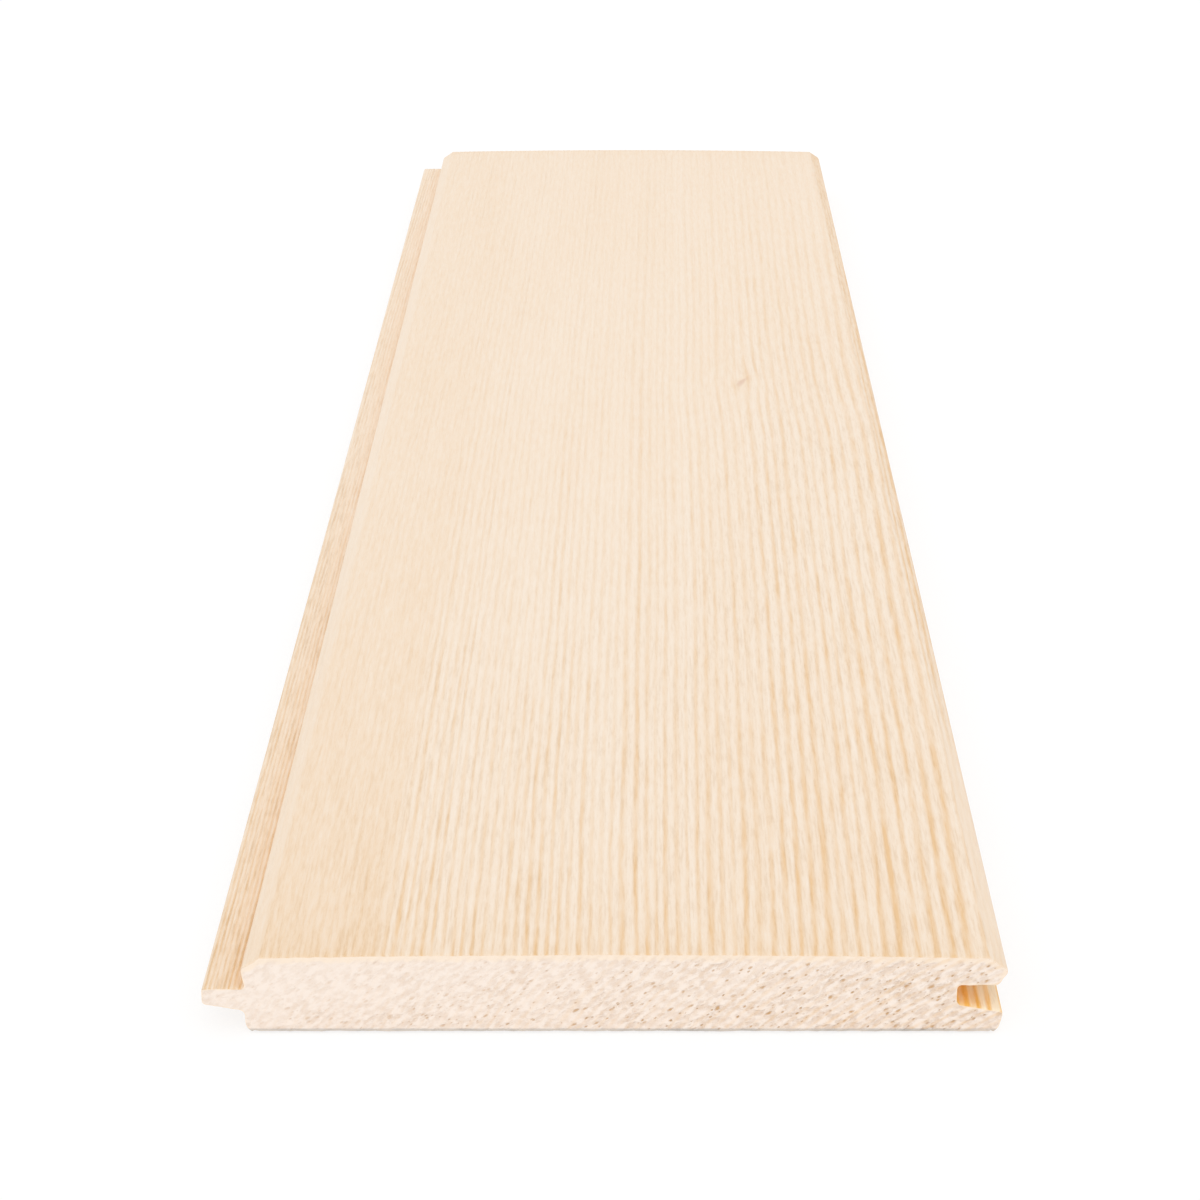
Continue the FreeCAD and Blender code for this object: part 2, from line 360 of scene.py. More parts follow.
def growth_numbers(across, along, up, timber):
    """The number of years from the pith at each point, and how near it is to a bold line, from 0 to 1.

    The years are the distance from the pith over the ring width, bent so that the bold lines of the face fall where
    a year's growth is hardest, with a little smooth noise.
    """
    pith_x, pith_z = timber.pith[0] / MM, timber.pith[1] / MM
    width = timber.ring_width / MM
    face = BOARD_HIGH.z / MM
    away = across - grain_shift(across, along, timber) - pith_x
    distance = np.hypot(away, up - pith_z)
    places, gaps = np.array(BOLD_LINES)[::-1].T
    marks = np.hypot(places - pith_x, face - pith_z)
    years = np.floor(marks[0] / width) + np.cumsum(gaps) + (LATE_WOOD + WINTER) / 2
    ends = np.array([marks[0] - 30 * width, marks[-1] + 60 * width])
    end_years = np.array([years[0] - 30, years[-1] + 60])
    number = np.interp(distance, np.r_[ends[0], marks, ends[1]], np.r_[end_years[0], years, end_years[1]])
    number += 0.16 * waver(distance / 2.3, along / 400, 11)
    boldness = np.exp(-((number[..., None] - years) / 0.45) ** 2).max(axis=-1)
    return number, boldness


def late_wood(number):
    """How hard the growth is, from 0 to 1: it rises through the year, and fades before the next one."""
    part = number - np.floor(number)
    return ease(part, EARLY_WOOD, LATE_WOOD) * (1 - ease(part, WINTER, SPRING))


def board_rows(timber):
    """Places of the section along the board, in mm. They crowd together at the two ends and round the knot.

    They are even steps of the running sum of a density: 1 + 4 exp(-(distance to the knot / 9)^2) + 22 exp(-distance to
    the nearer end).
    """
    low, high = BOARD_LOW.y / MM, BOARD_HIGH.y / MM
    fine = np.linspace(low, high, 12001)
    to_end = np.minimum(fine - low, high - fine)
    density = 1 + 4 * np.exp(-((fine - timber.knot[1] / MM) / 9) ** 2) + 22 * np.exp(-to_end)
    total = np.concatenate([[0], np.cumsum((density[1:] + density[:-1]) / 2)])
    return np.interp(np.linspace(0, total[-1], BOARD_ROWS), total, fine)


def end_skeleton(outline, spans):
    """The line that the rings of an end shrink to, as points, and the point of it that each outline point runs to.

    It has a spine along the middle of the board and a branch into the tongue and into each lip. Going once round the
    outline goes along every branch and back, so each of its steps is used once from each side and the end is closed.
    """
    back = slice(0, spans["back_right"][0])
    face = slice(spans["right_rim"][1], spans["left_rim"][0])
    across = outline[:, 0]
    groove_end = across[spans["groove_back"][1]:spans["groove_face"][0]].min()
    fork_x, knee_x = groove_end - 2.6, groove_end + 0.4
    middle = outline[spans["groove_back"][1]:spans["groove_face"][0], 1].mean()

    def opposite(side, x):
        """The point on the back or the face that lies nearest to this place across the board."""
        return side.start + int(np.argmin(np.abs(across[side] - x)))

    tongue = outline[spans["tip_face"][0]:spans["tip_back"][1]].mean(axis=0)
    face_lip = (outline[spans["face_lip"][0]] + outline[spans["right_rim"][0]]) / 2
    back_lip = (outline[spans["back_lip"][0]] + outline[spans["back_right"][0]]) / 2
    start, split = np.array([across[0], outline[:, 1].max() / 2]), np.array([fork_x, middle])
    face_knee, back_knee = np.array([knee_x, face_lip[1]]), np.array([knee_x, back_lip[1]])

    def line(points, steps):
        """Points at even steps along a line through the given points."""
        points = np.array(points)
        run = np.r_[0, np.cumsum(np.hypot(*np.diff(points, axis=0).T))]
        at = np.linspace(0, run[-1], steps + 1)
        return np.stack([np.interp(at, run, points[:, 0]), np.interp(at, run, points[:, 1])], axis=1)

    branches = {
        "spine": (None, line([start, split], 130)),
        "tongue": ("start", line([start, tongue + (0.9, 0)], 10)),
        "face_rise": ("spine", line([split, face_knee], 3)),
        "face_lip": ("face_rise", line([face_knee, face_lip - (0.8, 0)], 5)),
        "back_drop": ("spine", line([split, back_knee], 2)),
        "back_lip": ("back_drop", line([back_knee, back_lip - (1.2, 0)], 5)),
    }
    points, numbers, count = [], {}, 0
    for name, (parent, branch) in branches.items():
        if parent is None:
            own, root = branch, []
        else:
            own, root = branch[1:], [0] if parent == "start" else [numbers[parent][-1]]
        points.append(own)
        numbers[name] = np.array([*root, *range(count, count + len(own))])
        count += len(own)
    tour, stops = [np.array([0])], [(0, 0)]

    def go(name, back_again, until, hold=None):
        """Walks along a branch while the outline reaches one point, and waits there until it reaches another."""
        way = numbers[name][::-1] if back_again else numbers[name]
        tour.append(way[1:])
        place = sum(map(len, tour)) - 1
        stops.append((until, place))
        if hold is not None:
            stops.append((hold, place))

    go("spine", False, opposite(back, fork_x))
    go("back_drop", False, opposite(back, knee_x))
    go("back_lip", False, spans["back_right"][0], spans["back_lip"][1])
    go("back_lip", True, spans["groove_back"][0])
    go("back_drop", True, spans["groove_back"][1], spans["groove_face"][0])
    go("face_rise", False, spans["groove_face"][1])
    go("face_lip", False, spans["face_lip"][0], spans["right_foot"][1])
    go("face_lip", True, opposite(face, knee_x))
    go("face_rise", True, opposite(face, fork_x))
    go("spine", True, spans["left_rim"][0], spans["root_face"][1])
    go("tongue", False, spans["tip_face"][0], spans["tip_back"][1])
    go("tongue", True, spans["root_back"][0], len(outline))
    at, place = np.array(stops).T
    reached = np.rint(np.interp(np.arange(len(outline)), at, place)).astype(int)
    return np.concatenate(points), np.concatenate(tour)[reached]


def sawn_depth(across, up, slant, seed):
    """How deep the saw tore an end, from 0 to 1: strokes at the saw's slant in two sizes, and a few deeper pits."""
    run, rise = across * np.cos(slant) + up * np.sin(slant), up * np.cos(slant) - across * np.sin(slant)
    patch = 0.55 + 0.45 * waver(across / 8, up / 5, seed + 3)
    strokes = 0.5 + 0.5 * waver(run / 1.9, rise / 1.0, seed)
    fuzz = 0.5 + 0.5 * waver(run / 0.95, rise / 0.7, seed + 1)
    pits = ease(waver(run / 1.5, rise / 1.0, seed + 2), 0.5, 0.95)
    return np.clip(0.4 * strokes * patch + 0.3 * fuzz + 0.45 * pits, 0, 1)


def board_surface(sizes, timber):
    """The whole board as one closed surface: its points, quads, triangles, and what the materials read.

    The section is carried along the board, one ring of points to a row. Each point lies in by the ridge x the softness
    of its growth. The two end rings lie in a little more, unevenly, as a sawn arris does, and the back runs up to them
    in a straight slope. Each end is outline + (skeleton - outline) x share, torn in by the saw depth.
    """
    outline, spans = rounded_outline(section_corners(sizes), "left_rim", BOARD_HIGH.z / MM)
    count, rows = len(outline), board_rows(timber)
    normal = outward(outline)
    along = np.repeat(rows[:, None], count, axis=1)
    across, up = np.repeat(outline[None, :, 0], len(rows), axis=0), np.repeat(outline[None, :, 1], len(rows), axis=0)
    number, boldness = growth_numbers(across, along, up, timber)
    point = np.arange(count)
    plan = (point >= spans["right_rim"][1]) & (point < spans["left_rim"][0])
    inset = timber.ridge / MM * (1 - late_wood(number)) * np.where(plan, 1.0, 0.6)
    for row, seed, inwards in ((0, 21, 1), (len(rows) - 1, 22, -1)):
        x, z = outline.T
        inset[row] += 0.07 + 0.06 * waver(x / 0.9, z / 0.9, seed) + 0.12 * (normal[:, 1] > 0.8)
        along[row] += inwards * (0.09 + 0.08 * waver(x / 1.3, z / 1.3, seed + 4))
    to_end = np.minimum(rows - rows[0], rows[-1] - rows)[:, None]
    inset += 0.4 * np.clip(1 - to_end / 4, 0, 1) * ((normal[:, 1] < -0.9) & (outline[:, 1] < 1))
    across, up = across - normal[:, 0] * inset, up - normal[:, 1] * inset
    sides = np.stack([across, along, up], axis=-1).reshape(-1, 3)
    figure, tone, resin_and_painted_light = grain_look(across, along, up, outline, spans)
    traits = [np.stack([number, figure, tone, boldness, np.zeros_like(across), resin_and_painted_light], axis=-1)]
    points = [sides]
    row_start = np.arange(len(rows) - 1)[:, None] * count
    a, b = row_start + point, row_start + np.roll(point, -1)
    quads = [np.stack([a, a + count, b + count, b], axis=-1).reshape(-1, 4)]
    triangles = []
    skeleton, reached = end_skeleton(outline, spans)
    level = (np.arange(1, END_RINGS) / END_RINGS)[:, None]
    for row, seed, inwards in ((0, 31, 1), (len(rows) - 1, 41, -1)):
        ring = row * count + point
        x, z = across[row], up[row]
        spine_x, spine_z = skeleton[reached].T
        inner_x = np.r_[(x + (spine_x - x) * level).ravel(), skeleton[:, 0]]
        inner_z = np.r_[(z + (spine_z - z) * level).ravel(), skeleton[:, 1]]
        end_y = np.full_like(inner_x, rows[row])
        end_number, end_bold = growth_numbers(inner_x, end_y, inner_z, timber)
        half = np.hypot(spine_x - x, spine_z - z)
        depth = np.r_[(half * level).ravel(), np.full(len(skeleton), 6.0)]
        end_rim = depth / (0.35 + 1.1 * ease(inner_z, 9, 14))
        arris = np.r_[np.tile(along[row], END_RINGS - 1), np.full(len(skeleton), rows[row])]
        torn = rows[row] + inwards * timber.saw_depth / MM * sawn_depth(inner_x, inner_z, timber.saw_slant, seed)
        inner_y = arris + (torn - arris) * ease(end_rim, 0, 1)
        base = sum(map(len, points))
        points.append(np.stack([inner_x, inner_y, inner_z], axis=-1))
        none = np.zeros_like(inner_x)
        traits.append(np.stack([end_number, none + 0.5, none + 0.3, end_bold, end_rim, none], axis=-1))
        levels = np.vstack([ring, base + np.arange((END_RINGS - 1) * count).reshape(-1, count)])
        core = base + (END_RINGS - 1) * count + reached
        following = np.roll(levels, -1, axis=1)
        strip = np.stack([levels[:-1], following[:-1], following[1:], levels[1:]], axis=-1).reshape(-1, 4)
        next_core = np.roll(core, -1)
        last = np.stack([levels[-1], following[-1], next_core, core], axis=-1)
        fan = np.stack([levels[-1], following[-1], core], axis=-1)[core == next_core]
        ends = np.concatenate([strip, last[core != next_core]])
        quads.append(ends[:, ::inwards])
        triangles.append(fan[:, ::inwards])
    return {
        "points": np.concatenate(points) * MM, "quads": np.concatenate(quads), "triangles": np.concatenate(triangles),
        "traits": np.concatenate([part.reshape(-1, len(TRAITS)) for part in traits]),
        "side_quads": len(quads[0]), "outline": outline, "spans": spans, "rows": rows,
    }


def grain_look(across, along, up, outline, spans):
    """How strongly the rings show on the long sides, how dark the wood is between them, and where the groove colours
    go.

    Both fall along the board, the shade between the rings as exp(-share / length). On the face the rings are faint as
    far as the first bold line and grow towards the groove. The bevels are paler, the tongue is darker, most of all
    along its root, where the darkening is painted shade in the crease at the shoulder. The groove takes resinous
    colours that also hold painted light, with painted shade deepening towards its bottom.
    """
    point = np.arange(across.shape[1])

    def between(first, last):
        """The points of the outline from one corner's arc to another's."""
        return (point >= spans[first][0]) & (point <= spans[last][1])

    share = (along - BOARD_LOW.y / MM) / ((BOARD_HIGH.y - BOARD_LOW.y) / MM)
    plain, groove_side = 1 - ease(across, -45, -30), ease(across, 0, 55)
    calm, middle = 0.11 - 0.04 * share, 0.06 + 0.44 * np.exp(-share / 0.35)
    figure = middle + (0.54 - 0.46 * share - middle) * groove_side
    figure = calm + (figure - calm) * ease(across, -42, -37)
    length = 0.10 + 0.12 * plain + 0.2 * groove_side
    tone = 0.25 + 0.03 * plain + (0.20 + 0.035 * plain + 0.05 * groove_side) * np.exp(-share / length)
    to_end = np.minimum(along - BOARD_LOW.y / MM, BOARD_HIGH.y / MM - along)
    tone += 0.09 * np.exp(-to_end / 4)
    rim = outline[spans["left_rim"][1], 1]
    bevel = (1 - ease(up, rim - 0.3, rim + 0.2)) * between("right_foot", "left_foot")
    lined = ease(across, 0, 10) * ease(share, 0.1, 0.3)
    figure *= 1 - (0.85 - 1.25 * lined) * bevel
    tone += (0.01 + 0.38 * lined - 0.4 * tone) * bevel
    tongue = between("left_land", "root_back")
    shoulder = outline[spans["left_land"][0], 0]
    # Painted shade in the crease where the tongue meets the shoulder: the tongue darkens over the last 2 mm before it
    root = ease(across, shoulder - 2, shoulder + 0.3) * between("left_land", "tip_face")
    figure = np.where(tongue, 0.14 + 0.36 * np.exp(-share / 0.35), figure)
    tone = np.where(tongue, 0.29 + 0.33 * np.exp(-share / 0.25) + 0.2 * root, tone)
    groove = between("back_lip", "face_lip")
    lip = outline[spans["back_lip"][0], 0]
    # Painted shade: the groove's wood darkens from its mouth towards its bottom
    inner = 1 - ease(across, lip - 8, lip - 1)
    figure, tone = np.where(groove, 0.72 - 0.12 * inner, figure), np.where(groove, 0.2 + 0.75 * inner, tone)
    back = between("back_left", "back_left") | (point < spans["back_right"][1])
    return np.where(back, 0.34, figure), np.where(back, 0.33, tone), groove * np.ones_like(tone)


def bake_places(surface):
    """Places on the bake map, one for each corner of each face.

    The long sides fill a band: the way round the section, in which the face gets more room, by the way along the board.
    The ends lie flat in two bands above it.
    """
    outline, spans, rows = surface["outline"], surface["spans"], surface["rows"]
    count = len(outline)
    step = np.hypot(*(np.roll(outline, -1, axis=0) - outline).T)
    point = np.arange(count)
    plan = (point >= spans["right_foot"][0]) & (point < spans["left_foot"][1])
    way = np.r_[0, np.cumsum(step * np.where(plan, 2.2, 1.0))]
    way = 0.005 + 0.99 * way / way[-1]
    height = 0.005 + 0.745 * (rows - rows[0]) / (rows[-1] - rows[0])
    row, column = np.divmod(np.arange(surface["side_quads"]), count)
    near, far, here, beyond = height[row], height[row + 1], way[column], way[column + 1]
    sides = np.stack([here, near, here, far, beyond, far, beyond, near], axis=-1).reshape(-1, 2)
    rest = np.concatenate([surface["quads"][surface["side_quads"]:].ravel(), surface["triangles"].ravel()])
    places = surface["points"][rest] / MM
    width, top = (BOARD_HIGH.x - BOARD_LOW.x) / MM, BOARD_HIGH.z / MM
    far_end = places[:, 1] > 0
    across = places[:, 0] / width * np.where(far_end, -0.98, 0.98) + 0.5
    return np.concatenate([sides, np.stack([across, 0.77 + 0.12 * far_end + 0.1 * places[:, 2] / top], axis=-1)])


def new_mesh(name, surface, materials, material_index):
    """Makes a smooth mesh object from a surface, with its materials, its bake map and its named traits."""
    mesh = bpy.data.meshes.new(name)
    faces = surface["quads"].tolist() + surface["triangles"].tolist()
    mesh.from_pydata(surface["points"].tolist(), [], faces)
    for material in materials:
        mesh.materials.append(material)
    mesh.polygons.foreach_set("material_index", material_index.astype(np.int32))
    mesh.polygons.foreach_set("use_smooth", np.ones(len(faces), bool))
    places = mesh.uv_layers.new(name="OFBake")
    places.data.foreach_set("uv", bake_places(surface).astype(np.float32).ravel())
    for trait, values in zip(TRAITS, surface["traits"].T):
        mesh.attributes.new(trait, "FLOAT", "POINT").data.foreach_set("value", values.astype(np.float32))
    mesh.set_sharp_from_angle(angle=np.radians(50))
    mesh.update()
    made = bpy.data.objects.new(name, mesh)
    bpy.context.scene.collection.objects.link(made)
    return made


# Nodes

def node(tree, kind, values=None, **settings):
    """Adds a node, sets it up, and gives each named input a value or a link."""
    made = tree.nodes.new(kind)
    for name, value in settings.items():
        setattr(made, name, value)
    for socket, value in (values or {}).items():
        if isinstance(value, bpy.types.NodeSocket):
            tree.links.new(value, made.inputs[socket])
        else:
            made.inputs[socket].default_value = value
    return made


def calc(tree, operation, *values, clamp=False):
    """One step of arithmetic."""
    return node(tree, "ShaderNodeMath", dict(enumerate(values)), operation=operation, use_clamp=clamp).outputs[0]


def ramp(tree, value, low, high, to_low=0.0, to_high=1.0, smooth=True):
    """Carries a value from one range to another, held at both ends."""
    kind = "SMOOTHSTEP" if smooth else "LINEAR"
    values = {"Value": value, "From Min": low, "From Max": high, "To Min": to_low, "To Max": to_high}
    return node(tree, "ShaderNodeMapRange", values, interpolation_type=kind).outputs["Result"]


def blend(tree, share, first, second, how="MIX"):
    """Mixes two colours. A plain colour is given as three numbers."""
    first, second = (
        colour if isinstance(colour, bpy.types.NodeSocket) else (*colour, 1.0) for colour in (first, second)
    )
    mixed = node(tree, "ShaderNodeMix", {0: share, 6: first, 7: second}, data_type="RGBA", blend_type=how)
    return mixed.outputs[2]


def noise(tree, vector, detail=2.0, roughness=0.5, distortion=0.0):
    """Smooth noise from about 0.2 to 0.8 at unit scale."""
    values = {"Vector": vector, "Scale": 1.0, "Detail": detail, "Roughness": roughness, "Distortion": distortion}
    return node(tree, "ShaderNodeTexNoise", values).outputs["Fac"]


def trait(tree, name):
    """A number that the mesh holds at each point."""
    return node(tree, "ShaderNodeAttribute", attribute_name=name).outputs["Fac"]


def place(tree, scale, shift=(0, 0, 0)):
    """The place on the board, with this many cells to a metre, shifted by some cells."""
    here = node(tree, "ShaderNodeTexCoord").outputs["Object"]
    return node(tree, "ShaderNodeMapping", {"Vector": here, "Location": shift, "Scale": scale}).outputs[0]


def new_group(name, inputs, outputs):
    """A shader node group with float inputs, given with their defaults, and float outputs."""
    tree = bpy.data.node_groups.new(name, "ShaderNodeTree")
    for socket, default in inputs.items():
        tree.interface.new_socket(socket, in_out="INPUT", socket_type="NodeSocketFloat").default_value = default
    for socket in outputs:
        tree.interface.new_socket(socket, in_out="OUTPUT", socket_type="NodeSocketFloat")
    return tree, tree.nodes.new("NodeGroupInput").outputs, tree.nodes.new("NodeGroupOutput").inputs


def use(tree, group, values):
    """Places a node group in a tree."""
    return node(tree, "ShaderNodeGroup", values, node_tree=group).outputs


def growth_ring_group():
    """Rings: how dark the wood is here, from 0 for soft growth to 1 for hard, and the hard line by itself.

    Each ring has its own strength and its own start. Its line swells and fades through the year, wanders a little, and
    breaks up along the board. The tone is the shade between the lines.
    """
    given = {"Years": 0, "Figure": 1, "Tone": 0.3, "Boldness": 0}
    tree, given, out = new_group("growth_rings", given, ["Shade", "Line"])
    wander = calc(tree, "MULTIPLY_ADD", noise(tree, place(tree, (260, 22, 260))), 0.35, given["Years"])
    wander = calc(tree, "MULTIPLY_ADD", noise(tree, place(tree, (1100, 200, 1100))), 0.16, wander)
    wander = calc(tree, "ADD", wander, -0.255)
    ring, part = calc(tree, "FLOOR", wander), calc(tree, "FRACT", wander)

    def own(offset):
        """A random number of the ring's own."""
        number = calc(tree, "ADD", ring, offset)
        return node(tree, "ShaderNodeTexWhiteNoise", {"W": number}, noise_dimensions="1D").outputs["Value"]

    rise = ramp(tree, part, calc(tree, "MULTIPLY_ADD", own(31.7), 0.24, EARLY_WOOD - 0.12), LATE_WOOD)
    fall = ramp(tree, part, WINTER, SPRING, 1.0, 0.0)
    broken = ramp(tree, noise(tree, place(tree, (420, 34, 420)), detail=3), 0.3, 0.7, 0.66, 1.26)
    strength = calc(tree, "MULTIPLY_ADD", own(0.0), 0.55, 0.62)
    strength = calc(tree, "MULTIPLY_ADD", given["Boldness"], 0.3, strength)
    flecked = ramp(tree, noise(tree, place(tree, (1000, 75, 1000))), 0.3, 0.7, 0.7, 1.25)
    broken = calc(tree, "MULTIPLY", broken, flecked)
    line = calc(tree, "MULTIPLY", calc(tree, "MULTIPLY", rise, fall), calc(tree, "MULTIPLY", strength, broken))
    swing = calc(tree, "ADD", line, calc(tree, "MULTIPLY_ADD", own(57.3), 0.16, -0.5))
    tree.links.new(calc(tree, "MULTIPLY_ADD", swing, given["Figure"], given["Tone"]), out["Shade"])
    tree.links.new(line, out["Line"])
    return tree


def fibre_group():
    """Fibres: long fine streaks and short flecks, from -1 to 1."""
    tree, _, out = new_group("wood_fibres", {}, ["Streak", "Fleck"])
    streak = noise(tree, place(tree, (1900, 60, 1900)), detail=3, roughness=0.6)
    fleck = noise(tree, place(tree, (1500, 170, 1500), shift=(4.1, 2.3, 0)), detail=3, roughness=0.7)
    tree.links.new(ramp(tree, streak, 0.3, 0.7, -1, 1, smooth=False), out["Streak"])
    tree.links.new(ramp(tree, fleck, 0.3, 0.7, -1, 1, smooth=False), out["Fleck"])
    return tree


def new_material(name):
    """A material with one Principled shader, and its tree."""
    material = bpy.data.materials.new(name)
    material.use_nodes = True
    tree = material.node_tree
    shader = tree.nodes["Principled BSDF"]
    shader.inputs["Specular IOR Level"].default_value = 0.3
    return material, tree, shader


def ringed(tree, rings, fibres, years):
    """The shade of the wood from its rings and fibres, the hard line by itself, and the fibres."""
    given = {"Years": years, "Figure": trait(tree, "figure"), "Tone": trait(tree, "tone"),
             "Boldness": trait(tree, "boldness")}
    ring, fibre = use(tree, rings, given), use(tree, fibres, {})
    rough = calc(tree, "MULTIPLY_ADD", fibre["Streak"], 0.7, fibre["Fleck"])
    rough = calc(tree, "MULTIPLY", rough, calc(tree, "MULTIPLY_ADD", given["Tone"], 0.28, 0.01))
    cloud = calc(tree, "MULTIPLY_ADD", noise(tree, place(tree, (70, 7, 70))), 0.16, -0.08)
    shade = calc(tree, "ADD", calc(tree, "ADD", ring["Shade"], cloud), rough, clamp=True)
    return shade, ring["Line"], fibre


def fibred(tree, colour, fibre, depth):
    """Darkens a colour between the fibres without changing its hue, most where the wood is dark itself."""
    share = ramp(tree, calc(tree, "ADD", fibre["Streak"], fibre["Fleck"]), 0, 1.2, 0, depth, smooth=False)
    marked = calc(tree, "ADD", trait(tree, "tone"), trait(tree, "figure"))
    share = calc(tree, "MULTIPLY", share, ramp(tree, marked, 0.45, 0.65, 0.1, 1.0, smooth=False))
    return blend(tree, share, colour, (0.6, 0.58, 0.56), "MULTIPLY")


def finish_wood(tree, shader, colour, roughness, height, distance):
    """Gives a wood shader its colour and roughness, and its relief from a height."""
    tree.links.new(colour, shader.inputs["Base Color"])
    tree.links.new(roughness, shader.inputs["Roughness"])
    bump = node(tree, "ShaderNodeBump", {"Strength": 1.0, "Distance": distance, "Height": height})
    tree.links.new(bump.outputs["Normal"], shader.inputs["Normal"])


def planed_material(colours, timber, rings, fibres):
    """Planed wood of the face, the bevels and the back, with the pin knot."""
    material, tree, shader = new_material("planed_wood")
    shade, line, fibre = ringed(tree, rings, fibres, trait(tree, "years"))
    colour = blend(tree, shade, tuple(colours.soft_growth), tuple(colours.hard_growth))
    # The knot is cut lengthwise: a thin stroke across the grain, only on the face
    here = node(tree, "ShaderNodeTexCoord").outputs["Object"]
    there = node(tree, "ShaderNodeVectorMath", {0: here, 1: (*timber.knot, BOARD_HIGH.z)}, operation="SUBTRACT")
    turned = node(tree, "ShaderNodeVectorRotate", {"Vector": there.outputs[0], "Angle": timber.knot_turn},
                  rotation_type="Z_AXIS").outputs[0]
    wobble = noise(tree, place(tree, (500, 500, 500)))
    parts = node(tree, "ShaderNodeSeparateXYZ", {0: turned}).outputs
    half_width, half_length = timber.knot_size[0] / 2, timber.knot_size[1] / 2
    bow = calc(tree, "POWER", calc(tree, "DIVIDE", parts["Y"], half_length), 2.0)
    side = calc(tree, "MULTIPLY_ADD", bow, -0.7, calc(tree, "DIVIDE", parts["X"], half_width))
    ends = calc(tree, "DIVIDE", parts["Y"], half_length)
    depth = calc(tree, "DIVIDE", parts["Z"], 3 * MM)
    stroke = node(tree, "ShaderNodeCombineXYZ", {0: side, 1: ends, 2: depth}).outputs[0]
    size = node(tree, "ShaderNodeVectorMath", {0: stroke}, operation="LENGTH").outputs["Value"]
    size = calc(tree, "MULTIPLY_ADD", wobble, 0.6, size)
    colour = blend(tree, ramp(tree, size, 0.9, 3.2, 0.14, 0.0), colour, tuple(colours.hard_growth))
    colour = blend(tree, ramp(tree, size, 0.5, 1.6, 0.42, 0.0), colour, tuple(colours.knot))
    rough = calc(tree, "MULTIPLY_ADD", line, -0.12, 0.66)
    rough = calc(tree, "MULTIPLY_ADD", fibre["Fleck"], 0.03, rough)
    height = calc(tree, "MULTIPLY_ADD", fibre["Streak"], 0.3, line)
    finish_wood(tree, shader, fibred(tree, colour, fibre, 0.16), rough, height, 0.00006)
    return material


def moulded_material(colours, rings, fibres):
    """Wood of the tongue, the shoulders, the lips and the groove, as the knives left it.

    Its rings are split in two, because the knives leave a second line in each.
    """
    material, tree, shader = new_material("moulded_wood")
    resin_and_painted_light = trait(tree, "resin_and_painted_light")
    split = calc(tree, "MULTIPLY_ADD", calc(tree, "GREATER_THAN", resin_and_painted_light, 0.01), -0.75, 1.75)
    shade, line, fibre = ringed(tree, rings, fibres, calc(tree, "MULTIPLY", trait(tree, "years"), split))
    # The groove's resinous colours hold painted light as well
    soft = blend(tree, resin_and_painted_light, tuple(colours.soft_growth), tuple(colours.painted_light_resin_soft))
    hard = blend(tree, resin_and_painted_light, tuple(colours.hard_growth), tuple(colours.painted_light_resin_hard))
    rough = calc(tree, "MULTIPLY_ADD", fibre["Fleck"], 0.05, 0.66)
    height = calc(tree, "MULTIPLY_ADD", fibre["Streak"], 0.4, line)
    finish_wood(tree, shader, fibred(tree, blend(tree, shade, soft, hard), fibre, 0.24), rough, height, 0.00006)
    return material


